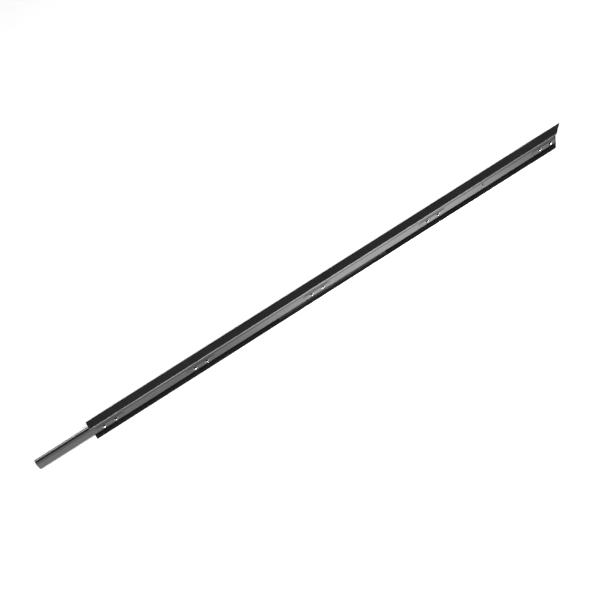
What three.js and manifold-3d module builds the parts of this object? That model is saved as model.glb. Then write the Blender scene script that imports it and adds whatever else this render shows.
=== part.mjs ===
// Two-member ball-bearing drawer slide, shown closed, in millimetres.
// X runs along the slide: -X is the way the drawer is pulled, +X is the back of the cabinet.
// Y runs across it: the cabinet side is the plane y = 0 and the drawer side lies at negative y.
// Z is up, with z = 0 at mid height.
import * as THREE from "three";
import { mergeVertices } from "three/addons/utils/BufferGeometryUtils.js";
import Module from "manifold-3d";

const wasm = await Module();
wasm.setup();

// ---- driving dimensions ----
const TRAVEL = 480; // how far the drawer member pulls out; the ball cage moves half as far
const GAP = 0.3; // clearance between separate pieces that touch
const CUT_SLACK = 1; // how far a cutting tool runs past the surface it cuts

const OUTER_FRONT = -325;
const OUTER_REAR = 323;
const OUTER_HEIGHT = 27;
const OUTER_DEPTH = 12;
const OUTER_SHEET = 1.3;
const OUTER_BEND = 1.4; // outside radius where the web turns into a flange
const OUTER_INSIDE_BEND = 0.5;
const OUTER_EDGE = 0.45; // rounding of the flange's free edge
const REAR_TAB = 13.8; // pointed tab that the top flange carries past the web
const REAR_CHAMFER = 2.2; // corner cut off the lower flange's rear end

const INNER_FRONT = -396.7;
const INNER_REAR = 321.2;
const INNER_HEIGHT = 16.8;
const INNER_FACE = -9.7; // y of the drawer member's web face
const INNER_DEPTH = 5.9;
const INNER_SHEET = 1.2;
const INNER_FLAT = 5.2; // half height of the flat part of the web
const INNER_CREASE = 1; // outside radius of the crease beside the flat
const INNER_SLOPE = THREE.MathUtils.degToRad(20); // lean of the shoulders between creases and ball grooves

const BALL_RADIUS = 2.38;
const RACE_RADIUS = 2.5; // radius of the ball grooves in both members
const RACE_Y = -6.3;
const RACE_Z = 10.025;
const BALLS_PER_SIDE = 10;
const BALL_SIDES = 12;

// Screw holes come in five pairs along both members.
const FIRST_HOLE = -309.7;
const PAIR_SPACING = 15.6;
const PAIR_STEPS = [0, 123, 283, 446, 609]; // how far each pair lies behind the first
const CABINET_HOLE_RADIUS = 2.6;
const DRAWER_HOLE_RADIUS = 2.2;
const COUNTERSINK_RADIUS = 3;
const COUNTERSINK_DEPTH = 0.9;

const PAD_RAISE = 0.8; // how far each screw pad stands proud of the drawer member's web
const PAD_LENGTH = 36;
const PAD_WIDTH = 7;
const PAD_SLOPE = 1.9; // how much further the pad's foot spreads than its top
const PAD_HOLLOW = 1; // how much smaller the hollow behind a pad is, on each side
const PAD_SIDES = 24;

const LANCE_X = 217; // small cross slot left by the stamping in the drawer member's web
const LANCE_LENGTH = 1.2;
const LANCE_WIDTH = 4;
const LANCE_Z = 2.6;

const CAGE_LENGTH = 150;
const CAGE_SHEET = 0.6;
const CAGE_BACK = -1.75;
const CAGE_ARM_EDGE = -9.35;
const CAGE_END = 7.5; // from the cage's end to its first ball
const CAGE_HOLE_RADIUS = BALL_RADIUS + 0.14;
const CAGE_WINDOWS = 5; // windows that lighten the cage's web
const CAGE_WINDOW_HEIGHT = 9;
const CAGE_WINDOW_LENGTH = 18;

const STOP_FRONT = -324;
const STOP_REAR = -314;
const STOP_TAB = 2.5;
const STOP_HALF_WIDTH = 5;
const STOP_SHEET = 1;
const STOP_REACH = 5.3; // how far the upright tab stands out from the cabinet member's web
const STOP_TAB_TOP = -1.2;
const STOP_RIVET = { x: -317.6, z: 2.4, shank: 1.2, head: 2.1, headHeight: 0.8 };

const LEVER_PIVOT = { x: 110, z: 2.2 };
const LEVER_THICKNESS = 2.3;
const LEVER_FINGER = -38; // end of the thumb tongue, from the pivot
const LEVER_CATCH = 3.2; // length of the catch that meets the front stop
const LEVER_BACK = -5.5; // y of the lever's cabinet-side face
const LEVER_HOLE_RADIUS = 1.5;
const LEVER_RIVET = { shank: 1.2, head: 2.6, headHeight: 0.8 };

const BLOCK_HALF_HEIGHT = 4.8; // rear end block that fills the drawer member's hollow

const BUMPER_PLATE = 1.5;
const BUMPER_LEG = 16;
const BUMPER_LEG_DEPTH = 3.6;

const HEAD_TAPER = 0.7; // a rivet head's outer radius over its seat radius
const OVERLAP = 0.1; // how far two blocks of one piece run into each other

// ---- worked-out sizes ----
const outerHalf = OUTER_HEIGHT / 2;
const outerInside = outerHalf - OUTER_SHEET;
const innerHalf = INNER_HEIGHT / 2;
const innerBack = INNER_FACE + INNER_DEPTH;
const webBack = INNER_FACE + INNER_SHEET;
const padFace = INNER_FACE - PAD_RAISE;
const cageFront = STOP_REAR + GAP + TRAVEL / 2;
const cageRear = cageFront + CAGE_LENGTH;
const blockFront = cageRear + TRAVEL / 2 + GAP;
const pairCentres = PAIR_STEPS.map((step) => FIRST_HOLE + PAIR_SPACING / 2 + step);
const holeCentres = PAIR_STEPS.flatMap((step) => [FIRST_HOLE + step, FIRST_HOLE + step + PAIR_SPACING]);

// ---- materials ----
const blackSteel = new THREE.MeshStandardMaterial({ color: 0x232325, roughness: 0.4, metalness: 0.8 });
const cageSteel = new THREE.MeshStandardMaterial({ color: 0x3a3b3d, roughness: 0.45, metalness: 0.9 });
const brightSteel = new THREE.MeshStandardMaterial({ color: 0xc4c7ca, roughness: 0.2, metalness: 1 });
const zincSteel = new THREE.MeshStandardMaterial({ color: 0x9a9da0, roughness: 0.35, metalness: 0.9 });
const blackPlastic = new THREE.MeshStandardMaterial({ color: 0x101011, roughness: 0.6, metalness: 0 });

// ---- solids ----
function toSolid(geometry) {
  const bare = new THREE.BufferGeometry();
  bare.setAttribute("position", geometry.getAttribute("position").clone());
  if (geometry.index) bare.setIndex(geometry.index.clone());
  const merged = mergeVertices(bare, 1e-4);
  return new wasm.Manifold(
    new wasm.Mesh({
      numProp: 3,
      vertProperties: new Float32Array(merged.attributes.position.array),
      triVerts: new Uint32Array(merged.index.array),
    }),
  );
}

function toMesh(name, solid, material) {
  const data = solid.getMesh();
  const geometry = new THREE.BufferGeometry();
  geometry.setAttribute("position", new THREE.BufferAttribute(data.vertProperties, 3));
  geometry.setIndex(new THREE.BufferAttribute(data.triVerts, 1));
  geometry.computeVertexNormals();
  const mesh = new THREE.Mesh(geometry, material);
  mesh.name = name;
  return mesh;
}

function block(x0, x1, y0, y1, z0, z1) {
  const geometry = new THREE.BoxGeometry(x1 - x0, y1 - y0, z1 - z0);
  geometry.translate((x0 + x1) / 2, (y0 + y1) / 2, (z0 + z1) / 2);
  return toSolid(geometry);
}

// A cone or cylinder along Y, from y0 to y1, with its own radius at each end.
function roundAlongY(x, z, y0, y1, radius0, radius1 = radius0, sides = 16) {
  const geometry = new THREE.CylinderGeometry(radius1, radius0, y1 - y0, sides);
  geometry.translate(x, (y0 + y1) / 2, z);
  return toSolid(geometry);
}

// A section drawn in the (y, z) plane, run along X.
function runAlongX(shape, x0, x1) {
  const geometry = new THREE.ExtrudeGeometry(shape, { depth: x1 - x0, bevelEnabled: false, curveSegments: 8 });
  const turn = new THREE.Matrix4().makeBasis(
    new THREE.Vector3(0, 1, 0),
    new THREE.Vector3(0, 0, 1),
    new THREE.Vector3(1, 0, 0),
  );
  geometry.applyMatrix4(turn);
  geometry.translate(x0, 0, 0);
  return toSolid(geometry);
}

// An outline drawn in the (x, y) plane, run up along Z.
function runAlongZ(points, z0, z1) {
  const shape = new THREE.Shape(points.map(([x, y]) => new THREE.Vector2(x, y)));
  const geometry = new THREE.ExtrudeGeometry(shape, { depth: z1 - z0, bevelEnabled: false });
  geometry.translate(0, 0, z0);
  return toSolid(geometry);
}

// An outline drawn in the (x, z) plane, run across from y0 to y1.
function runAlongY(shape, y0, y1) {
  const geometry = new THREE.ExtrudeGeometry(shape, { depth: y1 - y0, bevelEnabled: false, curveSegments: 8 });
  geometry.rotateX(Math.PI / 2);
  geometry.translate(0, y1, 0);
  return toSolid(geometry);
}

// ---- sections ----
// Points of an arc about (y, z), from one angle to another, in degrees.
function arc(y, z, radius, from, to, steps = 8) {
  return Array.from({ length: steps + 1 }, (_, i) => {
    const angle = THREE.MathUtils.degToRad(from + ((to - from) * i) / steps);
    return new THREE.Vector2(y + radius * Math.cos(angle), z + radius * Math.sin(angle));
  });
}

// The part of a ball race cut into a face at height z: an arc between the two points where they meet.
function raceArc(radius, z, below) {
  const half = THREE.MathUtils.radToDeg(Math.acos(Math.abs(z - RACE_Z) / radius));
  return below
    ? arc(RACE_Y, RACE_Z, radius, 270 - half, 270 + half, 10)
    : arc(RACE_Y, RACE_Z, radius, 90 - half, 90 + half, 6);
}

// Closes an upper half section by adding its mirror image below z = 0.
function mirrored(upper) {
  const lower = upper.map((point) => new THREE.Vector2(point.x, -point.y)).reverse();
  return new THREE.Shape([...upper, ...lower]);
}

function cabinetSection() {
  const front = -OUTER_DEPTH;
  const inside = OUTER_INSIDE_BEND;
  return mirrored([
    ...arc(-OUTER_SHEET - inside, outerInside - inside, inside, 0, 90, 3),
    ...raceArc(RACE_RADIUS, outerInside, false),
    ...arc(front + OUTER_EDGE, outerInside + OUTER_EDGE, OUTER_EDGE, 270, 180, 3),
    ...arc(front + OUTER_EDGE, outerHalf - OUTER_EDGE, OUTER_EDGE, 180, 90, 3),
    ...arc(-OUTER_BEND, outerHalf - OUTER_BEND, OUTER_BEND, 90, 0, 5),
  ]);
}

function drawerSection() {
  const wall = RACE_RADIUS + INNER_SHEET;
  const rimInside = innerHalf - INNER_SHEET;
  const lean = THREE.MathUtils.radToDeg(INNER_SLOPE);
  const crease = arc(INNER_FACE + INNER_CREASE, INNER_FLAT, INNER_CREASE, 180, 180 - lean, 3);
  const creaseEnd = crease.at(-1);
  const crest = creaseEnd.x + (innerHalf - creaseEnd.y) * Math.tan(INNER_SLOPE);
  const rimAngle = THREE.MathUtils.radToDeg(Math.asin((RACE_Z - rimInside) / wall));

  // The back of the shoulder leans the same way, from the back of the flat to the outside of the race wall.
  const race = new THREE.Vector2(RACE_Y, RACE_Z);
  const backCrease = new THREE.Vector2(webBack, INNER_FLAT - INNER_SHEET * Math.tan(INNER_SLOPE / 2));
  const upSlope = new THREE.Vector2(Math.sin(INNER_SLOPE), Math.cos(INNER_SLOPE));
  const fromRace = backCrease.clone().sub(race);
  const along = fromRace.dot(upSlope);
  const reach = -along - Math.sqrt(along ** 2 - fromRace.lengthSq() + wall ** 2);
  const meeting = backCrease.clone().addScaledVector(upSlope, reach).sub(race);
  const meetingAngle = THREE.MathUtils.radToDeg(meeting.angle());

  return mirrored([
    ...crease,
    new THREE.Vector2(crest, innerHalf),
    ...raceArc(RACE_RADIUS, innerHalf, true),
    new THREE.Vector2(innerBack, innerHalf),
    new THREE.Vector2(innerBack, rimInside),
    ...arc(RACE_Y, RACE_Z, wall, 360 - rimAngle, meetingAngle, 8),
    backCrease,
  ]);
}

// ---- cabinet member ----
function makeCabinetChannel() {
  let solid = runAlongX(cabinetSection(), OUTER_FRONT, OUTER_REAR + REAR_TAB);
  const past = OUTER_REAR + REAR_TAB + CUT_SLACK;
  solid = solid.subtract(
    block(OUTER_REAR, past, -OUTER_DEPTH - CUT_SLACK, CUT_SLACK, -outerHalf - CUT_SLACK, outerInside),
  );
  const tabCut = [
    [OUTER_REAR, -OUTER_DEPTH],
    [OUTER_REAR, -OUTER_DEPTH - CUT_SLACK],
    [past, -OUTER_DEPTH - CUT_SLACK],
    [past, 0],
    [OUTER_REAR + REAR_TAB, 0],
  ];
  solid = solid.subtract(runAlongZ(tabCut, 0, outerHalf + CUT_SLACK));
  const cornerCut = [
    [OUTER_REAR - REAR_CHAMFER, -OUTER_DEPTH],
    [OUTER_REAR - REAR_CHAMFER, -OUTER_DEPTH - CUT_SLACK],
    [OUTER_REAR + CUT_SLACK, -OUTER_DEPTH - CUT_SLACK],
    [OUTER_REAR + CUT_SLACK, -OUTER_DEPTH + REAR_CHAMFER],
    [OUTER_REAR, -OUTER_DEPTH + REAR_CHAMFER],
  ];
  solid = solid.subtract(runAlongZ(cornerCut, -outerHalf - CUT_SLACK, 0));
  for (const x of holeCentres) {
    solid = solid.subtract(roundAlongY(x, 0, -OUTER_SHEET - CUT_SLACK, CUT_SLACK, CABINET_HOLE_RADIUS));
  }
  const rivetHole = STOP_RIVET.shank + GAP;
  solid = solid.subtract(
    roundAlongY(STOP_RIVET.x, STOP_RIVET.z, -OUTER_SHEET - CUT_SLACK, CUT_SLACK, rivetHole),
  );
  return toMesh("cabinet_channel", solid, blackSteel);
}

// ---- stops and bumper of the cabinet member ----
function makeFrontStop() {
  const face = -OUTER_SHEET - GAP;
  const plate = block(STOP_FRONT, STOP_REAR, face - STOP_SHEET, face, -STOP_HALF_WIDTH, STOP_HALF_WIDTH);
  const tab = block(
    STOP_FRONT,
    STOP_FRONT + STOP_TAB,
    face - STOP_REACH,
    face - STOP_SHEET / 2,
    -STOP_HALF_WIDTH,
    STOP_TAB_TOP,
  );
  const hole = roundAlongY(STOP_RIVET.x, STOP_RIVET.z, face - 2 * STOP_SHEET, face + GAP, STOP_RIVET.shank + GAP);
  return toMesh("front_stop", plate.add(tab).subtract(hole), zincSteel);
}

function makeFrontStopRivet() {
  const headFace = -OUTER_SHEET - GAP - STOP_SHEET - GAP;
  const head = roundAlongY(
    STOP_RIVET.x,
    STOP_RIVET.z,
    headFace - STOP_RIVET.headHeight,
    headFace,
    STOP_RIVET.head * HEAD_TAPER,
    STOP_RIVET.head,
  );
  const shank = roundAlongY(STOP_RIVET.x, STOP_RIVET.z, headFace - OVERLAP, -GAP, STOP_RIVET.shank);
  return toMesh("front_stop_rivet", head.add(shank), zincSteel);
}

function makeRearBumper() {
  const plateFront = OUTER_REAR - BUMPER_PLATE;
  const back = -OUTER_SHEET - GAP;
  const face = -OUTER_DEPTH + REAR_CHAMFER;
  const half = outerInside - GAP;
  let solid = block(plateFront, OUTER_REAR, face, back, -half, half);
  for (const side of [-1, 1]) {
    const [low, high] = [side * (innerHalf + GAP), side * half].sort((a, b) => a - b);
    const legFront = plateFront - BUMPER_LEG;
    solid = solid.add(block(legFront, plateFront + OVERLAP, back - BUMPER_LEG_DEPTH, back, low, high));
  }
  return toMesh("rear_bumper", solid, blackPlastic);
}

// ---- ball cage and balls ----
const ballPitch = (CAGE_LENGTH - 2 * CAGE_END) / (BALLS_PER_SIDE - 1);
const ballPlaces = Array.from({ length: BALLS_PER_SIDE }, (_, i) => cageFront + CAGE_END + i * ballPitch);

function makeBallCage() {
  const outside = RACE_Z + CAGE_SHEET / 2;
  const inside = RACE_Z - CAGE_SHEET / 2;
  const section = mirrored([
    new THREE.Vector2(CAGE_BACK - CAGE_SHEET, inside),
    new THREE.Vector2(CAGE_ARM_EDGE, inside),
    new THREE.Vector2(CAGE_ARM_EDGE, outside),
    new THREE.Vector2(CAGE_BACK, outside),
  ]);
  let solid = runAlongX(section, cageFront, cageRear);
  for (const x of ballPlaces) {
    const hole = new THREE.CylinderGeometry(CAGE_HOLE_RADIUS, CAGE_HOLE_RADIUS, 2 * outside + 2, 16);
    hole.rotateX(Math.PI / 2);
    hole.translate(x, RACE_Y, 0);
    solid = solid.subtract(toSolid(hole));
  }
  const windowPitch = CAGE_LENGTH / CAGE_WINDOWS;
  for (let i = 0; i < CAGE_WINDOWS; i += 1) {
    const x = cageFront + (i + 0.5) * windowPitch;
    solid = solid.subtract(
      block(
        x - CAGE_WINDOW_LENGTH / 2,
        x + CAGE_WINDOW_LENGTH / 2,
        CAGE_BACK - CAGE_SHEET - CUT_SLACK,
        CAGE_BACK + CUT_SLACK,
        -CAGE_WINDOW_HEIGHT / 2,
        CAGE_WINDOW_HEIGHT / 2,
      ),
    );
  }
  return toMesh("ball_cage", solid, cageSteel);
}

function makeBall(side, index) {
  const geometry = new THREE.SphereGeometry(BALL_RADIUS, BALL_SIDES, BALL_SIDES / 2);
  const mesh = new THREE.Mesh(geometry, brightSteel);
  const number = String(index + 1).padStart(2, "0");
  mesh.name = (side > 0 ? "ball_upper_" : "ball_lower_") + number;
  mesh.position.set(ballPlaces[index], RACE_Y, side * RACE_Z);
  return mesh;
}

// ---- drawer member ----
// A stadium outline as points in the (x, z) plane.
function stadium(centre, length, width) {
  const radius = width / 2;
  const straight = length / 2 - radius;
  return Array.from({ length: PAD_SIDES }, (_, i) => {
    const angle = (2 * Math.PI * (i + 0.5)) / PAD_SIDES;
    const side = Math.cos(angle) > 0 ? straight : -straight;
    return [centre + side + radius * Math.cos(angle), radius * Math.sin(angle)];
  });
}

// A raised pad: a stadium that tapers from its foot at y = foot to its top at y = top.
function taperedPad(centre, foot, top, length, width) {
  const rings = [
    { y: foot, outline: stadium(centre, length + 2 * PAD_SLOPE, width + 2 * PAD_SLOPE) },
    { y: top, outline: stadium(centre, length, width) },
  ];
  const vertices = rings.flatMap((ring) => ring.outline.flatMap(([x, z]) => [x, ring.y, z]));
  vertices.push(centre, foot, 0, centre, top, 0);
  const footCentre = 2 * PAD_SIDES;
  const faces = [];
  for (let i = 0; i < PAD_SIDES; i += 1) {
    const next = (i + 1) % PAD_SIDES;
    faces.push(i, next, i + PAD_SIDES, next, next + PAD_SIDES, i + PAD_SIDES);
    faces.push(footCentre, next, i, footCentre + 1, i + PAD_SIDES, next + PAD_SIDES);
  }
  const geometry = new THREE.BufferGeometry();
  geometry.setAttribute("position", new THREE.Float32BufferAttribute(vertices, 3));
  geometry.setIndex(faces);
  return toSolid(geometry);
}

function makeDrawerChannel() {
  let solid = runAlongX(drawerSection(), INNER_FRONT, INNER_REAR);
  const beyond = block(INNER_REAR, INNER_REAR + PAD_LENGTH, padFace - CUT_SLACK, 0, -innerHalf, innerHalf);
  const hollowLength = PAD_LENGTH - 2 * PAD_HOLLOW;
  const hollowWidth = PAD_WIDTH - 2 * PAD_HOLLOW;
  for (const centre of pairCentres) {
    solid = solid.add(taperedPad(centre, INNER_FACE + OVERLAP, padFace, PAD_LENGTH, PAD_WIDTH));
    solid = solid.subtract(
      taperedPad(centre, webBack + OVERLAP, padFace + INNER_SHEET, hollowLength, hollowWidth),
    );
  }
  solid = solid.subtract(beyond);
  for (const x of holeCentres) {
    solid = solid.subtract(roundAlongY(x, 0, padFace - CUT_SLACK, webBack + CUT_SLACK, DRAWER_HOLE_RADIUS));
    solid = solid.subtract(
      roundAlongY(x, 0, padFace, padFace + COUNTERSINK_DEPTH, COUNTERSINK_RADIUS, DRAWER_HOLE_RADIUS),
    );
  }
  solid = solid.subtract(
    block(
      LANCE_X - LANCE_LENGTH / 2,
      LANCE_X + LANCE_LENGTH / 2,
      INNER_FACE - CUT_SLACK,
      webBack + CUT_SLACK,
      LANCE_Z - LANCE_WIDTH / 2,
      LANCE_Z + LANCE_WIDTH / 2,
    ),
  );
  return toMesh("drawer_channel", solid, blackSteel);
}

function makeRearEndBlock() {
  const solid = block(
    blockFront,
    INNER_REAR - GAP,
    webBack + GAP,
    -OUTER_SHEET - GAP,
    -BLOCK_HALF_HEIGHT,
    BLOCK_HALF_HEIGHT,
  );
  return toMesh("rear_end_block", solid, blackPlastic);
}

// ---- release lever ----
function makeReleaseLever() {
  const catchFront = STOP_FRONT + STOP_TAB + GAP + TRAVEL - LEVER_PIVOT.x;
  const catchRear = catchFront + LEVER_CATCH;
  const pivot = LEVER_PIVOT.z;
  const outline = [
    [LEVER_FINGER, -0.2 - pivot],
    [-6, -0.6 - pivot],
    [6, -0.6 - pivot],
    [catchFront, -0.2 - pivot],
    [catchFront, -4.4 - pivot],
    [catchRear, -3.2 - pivot],
    [catchRear, 1.5 - pivot],
    [8, 4.8 - pivot],
    [-8, 5 - pivot],
    [-24, 3.4 - pivot],
    [LEVER_FINGER, 4.2 - pivot],
  ];
  const shape = new THREE.Shape(outline.map(([x, z]) => new THREE.Vector2(x, z)));
  let solid = runAlongY(shape, LEVER_BACK - LEVER_THICKNESS, LEVER_BACK);
  solid = solid.subtract(
    roundAlongY(0, 0, LEVER_BACK - LEVER_THICKNESS - CUT_SLACK, LEVER_BACK + CUT_SLACK, LEVER_HOLE_RADIUS),
  );
  const mesh = toMesh("release_lever", solid, blackPlastic);
  mesh.position.set(LEVER_PIVOT.x, 0, LEVER_PIVOT.z);
  return mesh;
}

function makeLeverRivet() {
  const seat = LEVER_BACK + GAP;
  const { x, z } = LEVER_PIVOT;
  const shank = roundAlongY(x, z, webBack + GAP, seat + OVERLAP, LEVER_RIVET.shank);
  const head = roundAlongY(
    x,
    z,
    seat,
    seat + LEVER_RIVET.headHeight,
    LEVER_RIVET.head,
    LEVER_RIVET.head * HEAD_TAPER,
  );
  return toMesh("lever_pivot_rivet", shank.add(head), zincSteel);
}

// ---- assembly ----
const slide = new THREE.Group();

const cabinetMember = new THREE.Group();
cabinetMember.add(makeCabinetChannel(), makeFrontStop(), makeFrontStopRivet(), makeRearBumper());

const cage = new THREE.Group();
cage.add(makeBallCage());
for (const side of [1, -1]) {
  for (let index = 0; index < BALLS_PER_SIDE; index += 1) cage.add(makeBall(side, index));
}

const drawerMember = new THREE.Group();
drawerMember.add(makeDrawerChannel(), makeRearEndBlock(), makeReleaseLever(), makeLeverRivet());

slide.add(cabinetMember, cage, drawerMember);

export default slide;
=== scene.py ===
"""A black steel ball-bearing drawer slide, closed, on a plain pale studio floor."""

import math

import bmesh
import bpy
from mathutils import Matrix, Vector


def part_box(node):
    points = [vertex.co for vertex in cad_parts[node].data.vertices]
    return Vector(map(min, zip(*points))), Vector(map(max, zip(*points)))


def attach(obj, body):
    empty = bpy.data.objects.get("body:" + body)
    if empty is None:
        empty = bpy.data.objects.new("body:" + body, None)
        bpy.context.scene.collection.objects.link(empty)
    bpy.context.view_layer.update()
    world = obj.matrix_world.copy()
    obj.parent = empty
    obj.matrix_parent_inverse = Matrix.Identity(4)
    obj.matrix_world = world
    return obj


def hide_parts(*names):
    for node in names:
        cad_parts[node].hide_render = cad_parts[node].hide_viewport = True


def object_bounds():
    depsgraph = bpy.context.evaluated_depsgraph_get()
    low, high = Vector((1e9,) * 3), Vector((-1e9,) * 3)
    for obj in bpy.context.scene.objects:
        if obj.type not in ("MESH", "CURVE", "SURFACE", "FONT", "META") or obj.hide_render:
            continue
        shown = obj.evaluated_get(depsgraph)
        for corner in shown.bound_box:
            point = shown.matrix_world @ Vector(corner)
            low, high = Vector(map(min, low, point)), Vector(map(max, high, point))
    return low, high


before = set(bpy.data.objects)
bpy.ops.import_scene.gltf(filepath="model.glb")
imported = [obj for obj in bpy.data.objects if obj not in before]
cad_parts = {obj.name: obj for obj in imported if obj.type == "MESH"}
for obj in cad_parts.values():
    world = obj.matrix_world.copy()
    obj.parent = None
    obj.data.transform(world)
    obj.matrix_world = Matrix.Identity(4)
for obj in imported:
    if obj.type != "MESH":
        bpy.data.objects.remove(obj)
cad_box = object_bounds()

MM = 0.001

# ---- sizes repeated from the design, in millimetres ----
GAP = 0.3  # clearance between separate pieces that touch

OUTER_FRONT = -325
OUTER_REAR = 323
OUTER_HALF = 13.5
OUTER_DEPTH = 12
OUTER_SHEET = 1.3
OUTER_BEND = 1.4
OUTER_INSIDE_BEND = 0.5
OUTER_EDGE = 0.45
REAR_TAB = 13.7  # pointed tab of the top flange, a little short of the design so that it stays inside it
REAR_CHAMFER = 2.2

INNER_FRONT = -396.7
INNER_REAR = 321.2
INNER_HALF = 8.4
INNER_FACE = -9.7
INNER_BACK = -3.8
INNER_SHEET = 1.2
INNER_FLAT = 5.2
INNER_CREASE = 1
INNER_SLOPE = 20  # degrees that the shoulders beside the flat lean
RIM_ROUND = 0.25  # rounding of the rims beyond the ball grooves

BALL_RADIUS = 2.38
BALLS_PER_SIDE = 10
RACE_RADIUS = 2.5
RACE_Y = -6.3
RACE_Z = 10.025

CAGE_SHEET = 0.6
CAGE_BACK = -1.75
CAGE_ARM_EDGE = -9.35
CAGE_HOLE = 2.52
CAGE_WINDOWS = 5
CAGE_WINDOW_HALF = (9, 4.5)  # half length and half height
CAGE_WINDOW_ROUND = 1.5

FIRST_HOLE = -309.7
PAIR_SPACING = 15.6
PAIR_STEPS = (0, 123, 283, 446, 609)
HOLES = [FIRST_HOLE + step + extra for step in PAIR_STEPS for extra in (0, PAIR_SPACING)]
PADS = [FIRST_HOLE + step + PAIR_SPACING / 2 for step in PAIR_STEPS]
PAD_RAISE = 0.8
PAD_HALF_LENGTH = 18
PAD_HALF_WIDTH = 3.5
PAD_SLOPE = 1.9
CABINET_HOLE = 2.6
DRAWER_HOLE = 2.2
COUNTERSINK = 3
COUNTERSINK_DEPTH = 0.9
BARE_FROM = 0.45  # depth below which the countersinks are worn to bare steel

LANCE_X = 217
LANCE_Z = 2.6
LANCE_HALF = (0.6, 2)  # half length and half height
LANCE_ROUND = 0.5

STOP_FRONT = -324
STOP_REAR = -314
STOP_TAB = 2.5
STOP_TAB_TOP = -1.2
STOP_HALF_WIDTH = 5
STOP_SHEET = 1
STOP_REACH = 5.3  # how far the upright tab stands out from the cabinet member's web
STOP_RIVET_X, STOP_RIVET_Z = -317.6, 2.4
STOP_RIVET_HEAD = 2.1

BUMPER_PLATE = 1.5
BUMPER_LEG = 16
BUMPER_LEG_DEPTH = 3.6

LEVER_X, LEVER_Z = 110, 2.2
LEVER_CATCH = 3.2
LEVER_BACK = -5.5
LEVER_RIVET_HEAD = 2.6

RIVET_SHANK = 1.2
RIVET_HOLE = 1.5
RIVET_HEAD_HEIGHT = 0.8

# ---- small things that only the looks need, in millimetres ----
END_ROUND = 0.15  # edge break on every cut end
CUT_PAST = 1  # how far a cutter runs past the surface it cuts
OVERLAP = 0.3  # how far two blocks of one piece run into each other
RIM_BREAK = 0.2  # edge break around the cabinet member's screw holes
PAD_STEP = 0.8  # length of the faces over the pads
PLAIN_STEP = 14  # length of the faces between the pads


# ---- shader helpers ----
def new_material(name):
    material = bpy.data.materials.new(name)
    material.use_nodes = True
    tree = material.node_tree
    return material, tree, tree.nodes["Principled BSDF"]


def object_coordinates(tree, scale):
    """Object coordinates stretched by scale, so that a pattern can run along the slide."""
    source = tree.nodes.new("ShaderNodeTexCoord")
    mapping = tree.nodes.new("ShaderNodeMapping")
    mapping.inputs["Scale"].default_value = scale
    tree.links.new(source.outputs["Object"], mapping.inputs["Vector"])
    return mapping.outputs["Vector"]


def noise(tree, vector, scale, detail):
    node = tree.nodes.new("ShaderNodeTexNoise")
    node.inputs["Scale"].default_value = scale
    node.inputs["Detail"].default_value = detail
    node.inputs["Roughness"].default_value = 0.55
    tree.links.new(vector, node.inputs["Vector"])
    return node.outputs["Fac"]


def tint(tree, shader, value, low, high):
    """Colours the shader between low and high as value goes from 0.3 to 0.7."""
    node = tree.nodes.new("ShaderNodeValToRGB")
    for element, position, colour in zip(node.color_ramp.elements, (0.3, 0.7), (low, high)):
        element.position = position
        element.color = (*colour, 1)
    tree.links.new(value, node.inputs["Fac"])
    tree.links.new(node.outputs["Color"], shader.inputs["Base Color"])


def roughen(tree, shader, value, low, high):
    """Gives the shader a roughness between low and high as value goes from 0.3 to 0.7."""
    node = tree.nodes.new("ShaderNodeMapRange")
    node.inputs["From Min"].default_value = 0.3
    node.inputs["From Max"].default_value = 0.7
    node.inputs["To Min"].default_value = low
    node.inputs["To Max"].default_value = high
    tree.links.new(value, node.inputs["Value"])
    tree.links.new(node.outputs["Result"], shader.inputs["Roughness"])


def bump(tree, shader, height, strength, distance):
    node = tree.nodes.new("ShaderNodeBump")
    node.inputs["Strength"].default_value = strength
    node.inputs["Distance"].default_value = distance
    tree.links.new(height, node.inputs["Height"])
    tree.links.new(node.outputs["Normal"], shader.inputs["Normal"])


# ---- materials ----
def black_coated_steel():
    """Semi-gloss black coating over rolled strip: faint long rolling lines and a fine orange peel."""
    material, tree, shader = new_material("black_coated_steel")
    along = object_coordinates(tree, (0.05, 1, 1))
    even = object_coordinates(tree, (1, 1, 1))
    rolling = noise(tree, along, scale=900, detail=3)
    clouds = noise(tree, even, scale=45, detail=5)
    peel = noise(tree, even, scale=1400, detail=2)
    tint(tree, shader, clouds, (0.0085, 0.0082, 0.0080), (0.0125, 0.0122, 0.0120))
    roughen(tree, shader, rolling, 0.17, 0.26)
    shader.inputs["IOR"].default_value = 1.6
    both = tree.nodes.new("ShaderNodeMath")
    both.operation = "MULTIPLY_ADD"
    both.inputs[1].default_value = 0.5
    tree.links.new(peel, both.inputs[0])
    tree.links.new(rolling, both.inputs[2])
    bump(tree, shader, both.outputs["Value"], strength=0.12, distance=0.0001)
    return material


def edge_grain_and_painted_shade():
    """Darker matte black, a painted shade on the lower flanges' edges, over the torn grain of a sheared edge.
    """
    material, tree, shader = new_material("edge_grain_and_painted_shade")
    grain = noise(tree, object_coordinates(tree, (1, 1, 0.3)), scale=2600, detail=4)
    # painted shade: the lower edges' colour is darker than the coating's
    tint(tree, shader, grain, (0.006, 0.006, 0.006), (0.014, 0.013, 0.013))
    roughen(tree, shader, grain, 0.62, 0.8)
    shader.inputs["Specular IOR Level"].default_value = 0.15
    bump(tree, shader, grain, strength=0.3, distance=0.0001)
    return material


def painted_highlight_edge():
    """Upper flanges' edge painted lighter than the coating as a painted highlight, with a higher IOR so that
    it catches more light.
    """
    material, tree, shader = new_material("painted_highlight_edge")
    highlight_noise = noise(tree, object_coordinates(tree, (0.1, 1, 1)), scale=700, detail=4)
    # painted highlight: the upper edges' colour is lighter than the coating's
    tint(tree, shader, highlight_noise, (0.012, 0.012, 0.012), (0.020, 0.020, 0.020))
    roughen(tree, shader, highlight_noise, 0.22, 0.32)
    shader.inputs["IOR"].default_value = 2.1
    bump(tree, shader, highlight_noise, strength=0.1, distance=0.0001)
    return material


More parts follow.
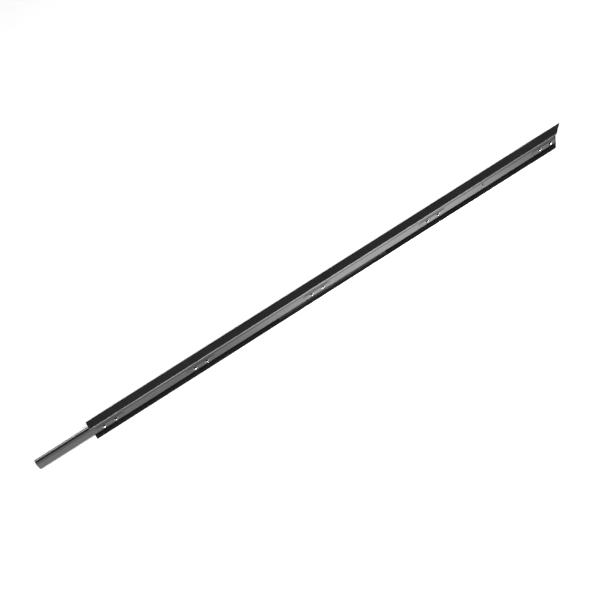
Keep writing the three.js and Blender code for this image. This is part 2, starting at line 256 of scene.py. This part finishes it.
def bare_steel():
    """Bright cut steel where the countersinks go through the coating."""
    material, tree, shader = new_material("bare_cut_steel")
    marks = noise(tree, object_coordinates(tree, (1, 1, 1)), scale=2500, detail=3)
    tint(tree, shader, marks, (0.55, 0.56, 0.57), (0.82, 0.82, 0.81))
    roughen(tree, shader, marks, 0.18, 0.34)
    shader.inputs["Metallic"].default_value = 1
    return material


def zinc_plate():
    """Bright zinc with the faint mottling of its crystals."""
    material, tree, shader = new_material("zinc_plate")
    mottle = noise(tree, object_coordinates(tree, (1, 1, 1)), scale=600, detail=5)
    tint(tree, shader, mottle, (0.42, 0.43, 0.45), (0.60, 0.60, 0.60))
    roughen(tree, shader, mottle, 0.26, 0.42)
    shader.inputs["Metallic"].default_value = 1
    bump(tree, shader, mottle, strength=0.08, distance=0.0001)
    return material


def blackened_strip():
    """Blackened spring strip with an oily sheen and long rolling lines."""
    material, tree, shader = new_material("blackened_strip")
    rolling = noise(tree, object_coordinates(tree, (0.08, 1, 1)), scale=1100, detail=4)
    tint(tree, shader, rolling, (0.008, 0.008, 0.009), (0.016, 0.016, 0.015))
    roughen(tree, shader, rolling, 0.32, 0.5)
    shader.inputs["Metallic"].default_value = 0.3
    bump(tree, shader, rolling, strength=0.15, distance=0.0001)
    return material


def bearing_steel():
    """Polished ball, its colour darkened as a painted shade of the balls deep inside the channel."""
    material, tree, shader = new_material("bearing_steel")
    wear = noise(tree, object_coordinates(tree, (1, 1, 1)), scale=1800, detail=3)
    # painted shade: the balls' colour is darkened for the shade inside the channel
    tint(tree, shader, wear, (0.05, 0.05, 0.055), (0.09, 0.09, 0.09))
    roughen(tree, shader, wear, 0.06, 0.16)
    shader.inputs["Metallic"].default_value = 1
    return material


def black_plastic():
    """Moulded black nylon with a fine spark-eroded grain."""
    material, tree, shader = new_material("black_plastic")
    grain = noise(tree, object_coordinates(tree, (1, 1, 1)), scale=3500, detail=2)
    tint(tree, shader, grain, (0.005, 0.005, 0.005), (0.009, 0.009, 0.009))
    roughen(tree, shader, grain, 0.5, 0.66)
    shader.inputs["Specular IOR Level"].default_value = 0.3
    bump(tree, shader, grain, strength=0.2, distance=0.00005)
    return material


STEEL = black_coated_steel()
EDGE = edge_grain_and_painted_shade()
PAINTED_HIGHLIGHT_EDGE = painted_highlight_edge()
BARE = bare_steel()
ZINC = zinc_plate()
STRIP = blackened_strip()
BALL = bearing_steel()
PLASTIC = black_plastic()


# ---- mesh helpers ----
def make_object(name, mesh, *materials):
    piece = bpy.data.objects.new(name, mesh)
    bpy.context.scene.collection.objects.link(piece)
    for material in materials:
        mesh.materials.append(material)
    return piece


def from_bmesh(name, bm, *materials):
    bmesh.ops.recalc_face_normals(bm, faces=bm.faces)
    mesh = bpy.data.meshes.new(name)
    bm.to_mesh(mesh)
    bm.free()
    mesh.transform(Matrix.Scale(MM, 4))
    return make_object(name, mesh, *materials)


def arc(y, z, radius, start, end, steps):
    """Points of an arc about (y, z) between two angles in degrees."""
    points = []
    for i in range(steps + 1):
        angle = math.radians(start + (end - start) * i / steps)
        points.append((y + radius * math.cos(angle), z + radius * math.sin(angle)))
    return points


def race_arc(radius, z, steps, below):
    """The stretch of a ball race that lies beyond the face at height z."""
    half = math.degrees(math.acos(abs(z - RACE_Z) / radius))
    middle = 270 if below else 90
    return arc(RACE_Y, RACE_Z, radius, middle - half, middle + half, steps)


def straight(start, end, steps):
    """Points strictly between two corners."""
    return [
        tuple(a + (b - a) * i / steps for a, b in zip(start, end))
        for i in range(1, steps)
    ]


def mirrored(upper):
    """Closes an upper half outline with its mirror image below z = 0."""
    return upper + [(y, -z) for y, z in reversed(upper)]


def inset(outline, distance):
    """Moves each point of a closed outline inwards by distance, along the mean of its two edge normals."""
    count = len(outline)
    area = sum(
        outline[i][0] * outline[(i + 1) % count][1] - outline[(i + 1) % count][0] * outline[i][1]
        for i in range(count)
    )
    turn = 1 if area > 0 else -1
    sharpest = 0.5  # keeps the points of sharp corners from running far in
    moved = []
    for i, (y, z) in enumerate(outline):
        before, after = outline[i - 1], outline[(i + 1) % count]
        normals = []
        for a, b in ((before, (y, z)), ((y, z), after)):
            edge = Vector((b[0] - a[0], b[1] - a[1])).normalized()
            normals.append(Vector((-edge.y, edge.x)) * turn)
        mean = (normals[0] + normals[1]).normalized()
        reach = distance / max(sharpest, mean.dot(normals[0]))
        moved.append((y + mean.x * reach, z + mean.y * reach))
    return moved


def sweep(outline, stations, shift=None):
    """Runs a closed (y, z) outline along X through the stations, with broken edges at both ends.
    shift(x, y, z) gives how far a point is pressed out towards the drawer side."""
    bm = bmesh.new()
    first, last = stations[0], stations[-1]
    small = inset(outline, END_ROUND)
    rows = [(first, small), (first + END_ROUND, outline)]
    rows += [(x, outline) for x in stations[1:-1]]
    rows += [(last - END_ROUND, outline), (last, small)]
    rings = []
    for x, ring in rows:
        verts = []
        for y, z in ring:
            press = shift(x, y, z) if shift else 0
            verts.append(bm.verts.new((x, y - press, z)))
        rings.append(verts)
    count = len(outline)
    for near, far in zip(rings, rings[1:]):
        for i in range(count):
            j = (i + 1) % count
            bm.faces.new((near[i], near[j], far[j], far[i]))
    bm.faces.new(rings[0])
    bm.faces.new(list(reversed(rings[-1])))
    return bm


def prism(points, low, high, axis):
    """A solid over a closed outline: points are (x, y) for axis Z, or (x, z) for axis Y."""
    bm = bmesh.new()

    def at_level(point, level):
        return (point[0], point[1], level) if axis == "Z" else (point[0], level, point[1])

    bottom = [bm.verts.new(at_level(p, low)) for p in points]
    top = [bm.verts.new(at_level(p, high)) for p in points]
    bm.faces.new(bottom)
    bm.faces.new(list(reversed(top)))
    count = len(points)
    for i in range(count):
        j = (i + 1) % count
        bm.faces.new((bottom[j], bottom[i], top[i], top[j]))
    return bm


def lathe_y(x, z, profile, sides=40):
    """Turns a profile of (y, radius) points about the line through (x, z) along Y. The ends are closed."""
    bm = bmesh.new()
    rings = []
    for y, radius in profile:
        ring = []
        for i in range(sides):
            angle = 2 * math.pi * i / sides
            ring.append(bm.verts.new((x + radius * math.cos(angle), y, z + radius * math.sin(angle))))
        rings.append(ring)
    for near, far in zip(rings, rings[1:]):
        for i in range(sides):
            j = (i + 1) % sides
            bm.faces.new((near[i], near[j], far[j], far[i]))
    bm.faces.new(rings[0])
    bm.faces.new(list(reversed(rings[-1])))
    return bm


def merge(parts):
    """Several bmeshes in one, each kept as its own closed shell."""
    together = bmesh.new()
    for part in parts:
        mesh = bpy.data.meshes.new("part")
        bmesh.ops.recalc_face_normals(part, faces=part.faces)
        part.to_mesh(mesh)
        part.free()
        together.from_mesh(mesh)
        bpy.data.meshes.remove(mesh)
    return together


def cut(piece, cutter, operation="DIFFERENCE"):
    """Cuts or joins with an exact boolean; new faces keep the cutter's material."""
    modifier = piece.modifiers.new("cut", "BOOLEAN")
    modifier.operation = operation
    modifier.solver = "EXACT"
    modifier.material_mode = "TRANSFER"
    modifier.object = cutter
    bake(piece)
    bpy.data.objects.remove(cutter)


def bake(piece):
    """Replaces the piece's mesh by what its modifiers make of it."""
    graph = bpy.context.evaluated_depsgraph_get()
    mesh = bpy.data.meshes.new_from_object(piece.evaluated_get(graph))
    piece.modifiers.clear()
    old = piece.data
    piece.data = mesh
    bpy.data.meshes.remove(old)


def soften(piece, width):
    """Breaks the sharp edges and shades the rest smooth."""
    modifier = piece.modifiers.new("edges", "BEVEL")
    modifier.width = width * MM
    modifier.segments = 2
    modifier.limit_method = "ANGLE"
    modifier.angle_limit = math.radians(40)
    modifier.miter_outer = "MITER_ARC"
    bake(piece)
    shade(piece)


def shade(piece, angle=32):
    mesh = piece.data
    mesh.polygons.foreach_set("use_smooth", [True] * len(mesh.polygons))
    mesh.set_sharp_from_angle(angle=math.radians(angle))


def place(piece, body, slot, *nodes):
    """Lets a piece ride on its body and stand for its CAD nodes."""
    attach(piece, body)
    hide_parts(*nodes)


# ---- cabinet member ----
def cabinet_outline():
    front = -OUTER_DEPTH
    inside = OUTER_HALF - OUTER_SHEET
    turn = OUTER_INSIDE_BEND
    upper = straight((-OUTER_SHEET, 0), (-OUTER_SHEET, inside - turn), 4)
    upper += arc(-OUTER_SHEET - turn, inside - turn, turn, 0, 90, 5)
    upper += race_arc(RACE_RADIUS, inside, 14, below=False)
    upper += arc(front + OUTER_EDGE, inside + OUTER_EDGE, OUTER_EDGE, 270, 180, 5)
    upper += arc(front + OUTER_EDGE, OUTER_HALF - OUTER_EDGE, OUTER_EDGE, 180, 90, 5)
    upper += straight((front + OUTER_EDGE, OUTER_HALF), (-OUTER_BEND, OUTER_HALF), 6)
    upper += arc(-OUTER_BEND, OUTER_HALF - OUTER_BEND, OUTER_BEND, 90, 0, 8)
    upper += straight((0, OUTER_HALF - OUTER_BEND), (0, 0), 4)
    return mirrored(upper)


def make_cabinet_channel():
    tip = OUTER_REAR + REAR_TAB
    steps = 40
    stations = [OUTER_FRONT + (tip - OUTER_FRONT) * i / steps for i in range(steps + 1)]
    piece = from_bmesh("cabinet_channel_steel", sweep(cabinet_outline(), stations), STEEL)
    cut_rear_end(piece, tip)
    wide = CABINET_HOLE + RIM_BREAK
    break_start, break_end = -0.15, 0.05  # y of both ends of the 45 degree break
    rim = [
        (-OUTER_SHEET - CUT_PAST, CABINET_HOLE),
        (break_start, CABINET_HOLE),
        (break_end, wide),
        (CUT_PAST, wide),
    ]
    cut(piece, from_bmesh("screw_holes", merge([lathe_y(x, 0, rim) for x in HOLES]), BARE))
    shank_hole = [(-OUTER_SHEET - CUT_PAST, RIVET_HOLE), (CUT_PAST, RIVET_HOLE)]
    cut(piece, from_bmesh("stop_rivet_hole", lathe_y(STOP_RIVET_X, STOP_RIVET_Z, shank_hole, sides=28), BARE))
    give_lips_painted_shade_and_highlight(piece)
    shade(piece)
    place(piece, "cabinet_member", "black_steel", "cabinet_channel")


def cut_rear_end(piece, tip):
    """Leaves only a pointed tab of the top flange past the web, and takes off the lower flange's corner."""
    past = tip + CUT_PAST
    front = -OUTER_DEPTH - CUT_PAST
    above, below = OUTER_HALF + CUT_PAST, -OUTER_HALF - CUT_PAST
    behind_web = [(OUTER_REAR, front), (past, front), (past, CUT_PAST), (OUTER_REAR, CUT_PAST)]
    cut(piece, from_bmesh("web_end", prism(behind_web, below, OUTER_HALF - OUTER_SHEET, "Z"), STEEL))
    slope = [(OUTER_REAR, -OUTER_DEPTH), (OUTER_REAR, front), (past, front), (past, 0), (tip, 0)]
    cut(piece, from_bmesh("tab_slope", prism(slope, 0, above, "Z"), STEEL))
    corner = [
        (OUTER_REAR - REAR_CHAMFER, -OUTER_DEPTH),
        (OUTER_REAR - REAR_CHAMFER, front),
        (OUTER_REAR + CUT_PAST, front),
        (OUTER_REAR + CUT_PAST, REAR_CHAMFER - OUTER_DEPTH),
        (OUTER_REAR, REAR_CHAMFER - OUTER_DEPTH),
    ]
    cut(piece, from_bmesh("lower_corner", prism(corner, below, 0, "Z"), STEEL))


def give_lips_painted_shade_and_highlight(piece):
    """Gives the free edges of the flanges their look: torn grain under a painted shade below, a painted
    highlight above.
    """
    # painted shade on the lower lips, painted highlight on the upper lips
    for material, side in ((EDGE, -1), (PAINTED_HIGHLIGHT_EDGE, 1)):
        piece.data.materials.append(material)
        index = len(piece.data.materials) - 1
        for face in piece.data.polygons:
            if face.center.y < (OUTER_EDGE - OUTER_DEPTH) * MM and face.center.z * side > INNER_HALF * MM:
                face.material_index = index


def box_between(low, high):
    """A closed box between two corners."""
    points = [(low[0], low[1]), (high[0], low[1]), (high[0], high[1]), (low[0], high[1])]
    return prism(points, low[2], high[2], "Z")


def make_front_stop():
    face = -OUTER_SHEET - GAP
    low = (STOP_FRONT, face - STOP_SHEET, -STOP_HALF_WIDTH)
    high = (STOP_REAR, face, STOP_HALF_WIDTH)
    piece = from_bmesh("front_stop_plate", box_between(low, high), ZINC)
    tab_low = (STOP_FRONT, face - STOP_REACH, -STOP_HALF_WIDTH)
    tab_high = (STOP_FRONT + STOP_TAB, face - STOP_SHEET / 2, STOP_TAB_TOP)
    cut(piece, from_bmesh("tab", box_between(tab_low, tab_high), ZINC), "UNION")
    through = [(face - STOP_SHEET - CUT_PAST, RIVET_HOLE), (face + CUT_PAST, RIVET_HOLE)]
    cut(piece, from_bmesh("hole", lathe_y(STOP_RIVET_X, STOP_RIVET_Z, through, sides=28), ZINC))
    soften(piece, width=0.2)
    place(piece, "cabinet_member", "zinc_steel", "front_stop")


def dome(start, reach, radius):
    """Profile points of a rivet head that starts at y = start with that radius and rounds off by reach."""
    points = []
    steps = 6
    tip = 0.05  # radius of the small flat at the top
    for i in range(steps + 1):
        angle = math.pi / 2 * i / steps
        points.append((start + reach * math.sin(angle), max(tip, radius * math.cos(angle))))
    return points


def make_rivet(name, x, z, shank_end, head_start, head, head_reach, body, node):
    """A shank from shank_end to the head, which starts at head_start and rounds off by head_reach."""
    profile = [(shank_end, RIVET_SHANK), (head_start, RIVET_SHANK), (head_start, head)]
    profile += dome(head_start, head_reach, head)[1:]
    piece = from_bmesh(name, lathe_y(x, z, profile, sides=32), ZINC)
    shade(piece)
    place(piece, body, "zinc_steel", node)


def make_stop_rivet():
    seat = -OUTER_SHEET - GAP - STOP_SHEET - GAP
    make_rivet(
        "stop_rivet", STOP_RIVET_X, STOP_RIVET_Z, -GAP, seat, STOP_RIVET_HEAD, -RIVET_HEAD_HEIGHT,
        "cabinet_member", "front_stop_rivet",
    )


def make_rear_bumper():
    plate_front = OUTER_REAR - BUMPER_PLATE
    back = -OUTER_SHEET - GAP
    face = REAR_CHAMFER - OUTER_DEPTH
    half = OUTER_HALF - OUTER_SHEET - GAP
    plate = box_between((plate_front, face, -half), (OUTER_REAR, back, half))
    piece = from_bmesh("rear_bumper_cap", plate, PLASTIC)
    for side in (-1, 1):
        low, high = sorted((side * (INNER_HALF + GAP), side * half))
        leg_front = plate_front - BUMPER_LEG
        leg = box_between((leg_front, back - BUMPER_LEG_DEPTH, low), (plate_front + OVERLAP, back, high))
        cut(piece, from_bmesh("leg", leg, PLASTIC), "UNION")
    soften(piece, width=0.25)
    place(piece, "cabinet_member", "black_plastic", "rear_bumper")


# ---- ball cage and balls ----
def cage_outline():
    """A U of thin strip: a web behind, an arm through each race, rounded at the bends and the arms' edges."""
    outer_bend = 1
    inner_bend = outer_bend - CAGE_SHEET
    tip = 0.15
    front = CAGE_BACK - CAGE_SHEET
    outside, inside = RACE_Z + CAGE_SHEET / 2, RACE_Z - CAGE_SHEET / 2
    upper = straight((front, 0), (front, inside - inner_bend), 3)
    upper += arc(front - inner_bend, inside - inner_bend, inner_bend, 0, 90, 4)
    upper += arc(CAGE_ARM_EDGE + tip, inside + tip, tip, 270, 180, 2)
    upper += arc(CAGE_ARM_EDGE + tip, outside - tip, tip, 180, 90, 2)
    upper += arc(CAGE_BACK - outer_bend, outside - outer_bend, outer_bend, 90, 0, 6)
    upper += straight((CAGE_BACK, outside - outer_bend), (CAGE_BACK, 0), 3)
    return mirrored(upper)


def rounded_rectangle(x, z, half_length, half_height, radius):
    """Corner-rounded outline in (x, z) points."""
    points = []
    corners = ((1, 1, 0), (-1, 1, 90), (-1, -1, 180), (1, -1, 270))
    for along, up, start in corners:
        centre_x = x + along * (half_length - radius)
        centre_z = z + up * (half_height - radius)
        points += arc(centre_x, centre_z, radius, start, start + 90, 5)
    return points


def make_cage():
    low, high = (corner.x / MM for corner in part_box("ball_cage"))
    length = high - low
    steps = 24
    stations = [low + length * i / steps for i in range(steps + 1)]
    piece = from_bmesh("ball_cage_strip", sweep(cage_outline(), stations), STRIP)
    holes = []
    reach = RACE_Z + CAGE_SHEET + CUT_PAST
    upright = Matrix.Rotation(math.pi / 2, 3, "X")
    for x in ball_places():
        hole = lathe_y(x, 0, [(-reach, CAGE_HOLE), (reach, CAGE_HOLE)], sides=32)
        bmesh.ops.rotate(hole, cent=(x, 0, 0), matrix=upright, verts=hole.verts)
        bmesh.ops.translate(hole, vec=(0, RACE_Y, 0), verts=hole.verts)
        holes.append(hole)
    cut(piece, from_bmesh("ball_holes", merge(holes), STRIP))
    windows = []
    for i in range(CAGE_WINDOWS):
        x = low + (i + 0.5) * length / CAGE_WINDOWS
        window = rounded_rectangle(x, 0, *CAGE_WINDOW_HALF, CAGE_WINDOW_ROUND)
        windows.append(prism(window, CAGE_BACK - CAGE_SHEET - CUT_PAST, CAGE_BACK + CUT_PAST, "Y"))
    cut(piece, from_bmesh("windows", merge(windows), STRIP))
    shade(piece)
    place(piece, "cage", "cage_steel", "ball_cage")


def ball_places():
    """x of each ball in one race, in millimetres."""
    places = []
    for number in range(1, BALLS_PER_SIDE + 1):
        low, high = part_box(f"ball_upper_{number:02d}")
        places.append((low.x + high.x) / 2 / MM)
    return places


def make_balls():
    for side, sign in (("upper", 1), ("lower", -1)):
        for number, x in enumerate(ball_places(), 1):
            bm = bmesh.new()
            bmesh.ops.create_uvsphere(bm, u_segments=32, v_segments=18, radius=BALL_RADIUS)
            bmesh.ops.translate(bm, vec=(x, RACE_Y, sign * RACE_Z), verts=bm.verts)
            piece = from_bmesh(f"bearing_ball_{side}_{number:02d}", bm, BALL)
            shade(piece, 60)
            place(piece, "cage", "ball_steel", f"ball_{side}_{number:02d}")


# ---- drawer member ----
def drawer_outline():
    """Flat web, creases, leaning shoulders, ball grooves and rims, at one sheet thickness."""
    wall = RACE_RADIUS + INNER_SHEET
    web_back = INNER_FACE + INNER_SHEET
    rim_inside = INNER_HALF - INNER_SHEET
    lean = math.radians(INNER_SLOPE)
    upper = straight((INNER_FACE, 0), (INNER_FACE, INNER_FLAT), 14)
    upper += arc(INNER_FACE + INNER_CREASE, INNER_FLAT, INNER_CREASE, 180, 180 - INNER_SLOPE, 5)
    crease_y, crease_z = upper[-1]
    crest = crease_y + (INNER_HALF - crease_z) * math.tan(lean)
    upper += straight((crease_y, crease_z), (crest, INNER_HALF), 4)
    upper.append((crest, INNER_HALF))
    upper += race_arc(RACE_RADIUS, INNER_HALF, 16, below=True)
    upper += arc(INNER_BACK - RIM_ROUND, INNER_HALF - RIM_ROUND, RIM_ROUND, 90, 0, 3)
    upper += arc(INNER_BACK - RIM_ROUND, rim_inside + RIM_ROUND, RIM_ROUND, 0, -90, 3)
    # The back of the shoulder runs from the back of the flat to the outside of the race wall.
    race = Vector((RACE_Y, RACE_Z))
    back_crease = Vector((web_back, INNER_FLAT - INNER_SHEET * math.tan(lean / 2)))
    up_slope = Vector((math.sin(lean), math.cos(lean)))
    along = (back_crease - race).dot(up_slope)
    reach = -along - math.sqrt(along ** 2 - (back_crease - race).length_squared + wall ** 2)
    meeting = back_crease + up_slope * reach - race
    turn_in = math.degrees(math.atan2(meeting.y, meeting.x)) % 360 - 360
    turn_out = math.degrees(math.asin((RACE_Z - rim_inside) / wall))
    upper += arc(RACE_Y, RACE_Z, wall, -turn_out, turn_in, 12)
    upper.append(tuple(back_crease))
    upper += straight(tuple(back_crease), (web_back, 0), 12)
    return mirrored(upper)


def smooth(t):
    t = min(1, max(0, t))
    return t * t * (3 - 2 * t)


def pad_press(x, y, z):
    """How far the web is pressed out at a point: full on a pad's flat top, easing to nothing at its foot."""
    behind_web = INNER_FACE + INNER_SHEET + 0.1
    if y > behind_web or abs(z) > INNER_FLAT:
        return 0
    press = 0
    for centre in PADS:
        along = max(0, abs(x - centre) - (PAD_HALF_LENGTH - PAD_HALF_WIDTH))
        out = math.hypot(along, z) - PAD_HALF_WIDTH
        press = max(press, PAD_RAISE * smooth(1 - out / PAD_SLOPE))
    return press


def drawer_stations():
    """Coarse steps along plain stretches and fine ones over the pads."""
    reach = PAD_HALF_LENGTH + PAD_SLOPE + PAD_STEP
    nudge = 0.01  # takes the last coarse step just inside the fine stretch
    found = [INNER_FRONT]
    while found[-1] < INNER_REAR:
        x = found[-1]
        over_pad = any(abs(x - centre) < reach for centre in PADS)
        to_next = min((centre - reach - x for centre in PADS if centre - reach > x), default=PLAIN_STEP)
        found.append(x + (PAD_STEP if over_pad else min(PLAIN_STEP, to_next + nudge)))
    return found[:-1] + [INNER_REAR]


def countersink_profile(start, end, last):
    """The countersink between two depths below a pad's face, and past it a straight hole of radius last."""
    face = INNER_FACE - PAD_RAISE
    slope = (COUNTERSINK - DRAWER_HOLE) / COUNTERSINK_DEPTH
    ledge = 0.01  # the step from the cone to the hole is all but flat
    return [
        (face + start, COUNTERSINK - slope * start),
        (face + end, COUNTERSINK - slope * end),
        (face + end + ledge, last),
        (INNER_FACE + INNER_SHEET + CUT_PAST, last),
    ]


def make_drawer_channel():
    bm = sweep(drawer_outline(), drawer_stations(), pad_press)
    piece = from_bmesh("drawer_channel_steel", bm, STEEL)
    pilot = DRAWER_HOLE - 0.2  # a first hole, inside the final one
    coated = countersink_profile(-CUT_PAST, BARE_FROM, pilot)
    bare = countersink_profile(BARE_FROM, COUNTERSINK_DEPTH, DRAWER_HOLE)
    cut(piece, from_bmesh("countersinks", merge([lathe_y(x, 0, coated, sides=48) for x in HOLES]), STEEL))
    cut(piece, from_bmesh("screw_holes", merge([lathe_y(x, 0, bare, sides=48) for x in HOLES]), BARE))
    slot = rounded_rectangle(LANCE_X, LANCE_Z, *LANCE_HALF, LANCE_ROUND)
    web_back = INNER_FACE + INNER_SHEET
    cut(piece, from_bmesh("lance", prism(slot, INNER_FACE - CUT_PAST, web_back + CUT_PAST, "Y"), STEEL))
    shade(piece)
    place(piece, "drawer_member", "black_steel", "drawer_channel")


def make_rear_end_block():
    low, high = (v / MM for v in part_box("rear_end_block"))
    piece = from_bmesh("rear_end_block_nylon", box_between(low, high), PLASTIC)
    soften(piece, width=0.35)
    place(piece, "drawer_member", "black_plastic", "rear_end_block")


def make_lever():
    """Thumb tongue in front, catch behind, and finger grooves on the tongue's back."""
    low, high = (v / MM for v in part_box("release_lever"))
    catch, end = high.x - LEVER_CATCH, high.x
    # Corners in (x, z): the lower edge from the tongue to the catch, then back over the top.
    outline = [
        (low.x, -0.2),
        (LEVER_X - 6, -0.6),
        (LEVER_X + 6, -0.6),
        (catch, -0.2),
        (catch, -4.4),
        (end, -3.2),
        (end, 1.5),
        (LEVER_X + 8, 4.8),
        (LEVER_X - 8, 5),
        (LEVER_X - 24, 3.4),
        (low.x, 4.2),
    ]
    piece = from_bmesh("release_lever_nylon", prism(outline, low.y, high.y, "Y"), PLASTIC)
    through = [(low.y - CUT_PAST, RIVET_HOLE), (high.y + CUT_PAST, RIVET_HOLE)]
    cut(piece, from_bmesh("hole", lathe_y(LEVER_X, LEVER_Z, through, sides=28), PLASTIC))
    count, first, pitch, width, depth = 5, 3, 2, 0.8, 0.5
    grip_low, grip_high = 0.6, 3.4
    grooves = []
    for i in range(count):
        x = low.x + first + pitch * i
        near, far = (x, high.y - depth, grip_low), (x + width, high.y + CUT_PAST, grip_high)
        grooves.append(box_between(near, far))
    cut(piece, from_bmesh("grip", merge(grooves), PLASTIC))
    soften(piece, width=0.2)
    place(piece, "lever", "black_plastic", "release_lever")


def make_lever_rivet():
    seat = LEVER_BACK + GAP
    shank_end = INNER_FACE + INNER_SHEET + GAP
    make_rivet(
        "lever_rivet", LEVER_X, LEVER_Z, shank_end, seat, LEVER_RIVET_HEAD, RIVET_HEAD_HEIGHT,
        "drawer_member", "lever_pivot_rivet",
    )


# ---- build ----
make_cabinet_channel()
make_front_stop()
make_stop_rivet()
make_rear_bumper()
make_cage()
make_balls()
make_drawer_channel()
make_rear_end_block()
make_lever()
make_lever_rivet()


# ---- studio ----
FLOOR_GAP = 0.0001  # the slide all but rests on the floor


def make_floor():
    bm = bmesh.new()
    bmesh.ops.create_grid(bm, x_segments=1, y_segments=1, size=40)
    mesh = bpy.data.meshes.new("studio_floor")
    bm.to_mesh(mesh)
    bm.free()
    material, tree, shader = new_material("floor_paper")
    shader.inputs["Base Color"].default_value = (0.9, 0.9, 0.9, 1)
    shader.inputs["Roughness"].default_value = 0.9
    shader.inputs["Specular IOR Level"].default_value = 0
    floor = make_object("studio_floor", mesh, material)
    floor.location = (0, 0, cad_box[0].z - FLOOR_GAP)
    return floor


def aim(light, place_at, aim_at):
    """Puts a light in the scene, pointing from one place to another."""
    bpy.context.scene.collection.objects.link(light)
    light.location = place_at
    light.rotation_mode = "QUATERNION"
    light.rotation_quaternion = (Vector(aim_at) - Vector(place_at)).to_track_quat("-Z", "Y")


def softbox(name, place_at, width, height, watts):
    """A rectangular light turned to the middle of the slide."""
    data = bpy.data.lights.new(name, "AREA")
    data.shape = "RECTANGLE"
    data.size = width
    data.size_y = height
    data.energy = watts
    aim(bpy.data.objects.new(name, data), place_at, (0, 0, 0))


def floor_spot(floor, place_at, aim_at, degrees, watts):
    """A soft pool of light on the floor alone, which the slide's web reflects."""
    data = bpy.data.lights.new("floor_spot", "SPOT")
    data.spot_size = math.radians(degrees)
    data.spot_blend = 1
    data.shadow_soft_size = 0.02
    data.energy = watts
    light = bpy.data.objects.new("floor_spot", data)
    aim(light, place_at, aim_at)
    only_floor = bpy.data.collections.new("lit_by_floor_spot")
    only_floor.objects.link(floor)
    light.light_linking.receiver_collection = only_floor


def make_world():
    """A dim grey room around the softboxes."""
    world = bpy.data.worlds.new("studio")
    world.use_nodes = True
    bpy.context.scene.world = world
    background = world.node_tree.nodes["Background"]
    background.inputs["Color"].default_value = (0.1, 0.1, 0.1, 1)


def make_camera():
    azimuth, elevation, roll = (math.radians(v) for v in (12, 57.86, 22.17))
    distance = 1.4576
    target = Vector((-41.3, -6.3, -2.5)) * MM
    level = math.cos(elevation)
    back = Vector((-math.sin(azimuth) * level, -math.cos(azimuth) * level, math.sin(elevation)))
    data = bpy.data.cameras.new("camera")
    data.lens = 74.64
    data.sensor_width = 36
    data.clip_end = 100
    camera = bpy.data.objects.new("camera", data)
    bpy.context.scene.collection.objects.link(camera)
    camera.location = target + back * distance
    camera.rotation_mode = "QUATERNION"
    upright = (-back).to_track_quat("-Z", "Y")
    camera.rotation_quaternion = upright @ Matrix.Rotation(-roll, 3, "Z").to_quaternion()
    bpy.context.scene.camera = camera


studio_floor = make_floor()
make_world()
make_camera()
softbox("key_softbox", (0, -1, 1.9), width=2.4, height=1, watts=75)
softbox("left_fill", (-1.8, 0.6, 0.5), width=1, height=1, watts=10)
softbox("right_fill", (1.8, 0.6, 0.5), width=1, height=1, watts=10)
softbox("sparkle", (-0.1, -1.5, 1.1), width=0.8, height=0.12, watts=14)
floor_spot(studio_floor, (0.08, -0.5, 0.5), (0.08, -0.02, -0.0136), degrees=38, watts=60)
bpy.context.scene.view_settings.view_transform = "Standard"
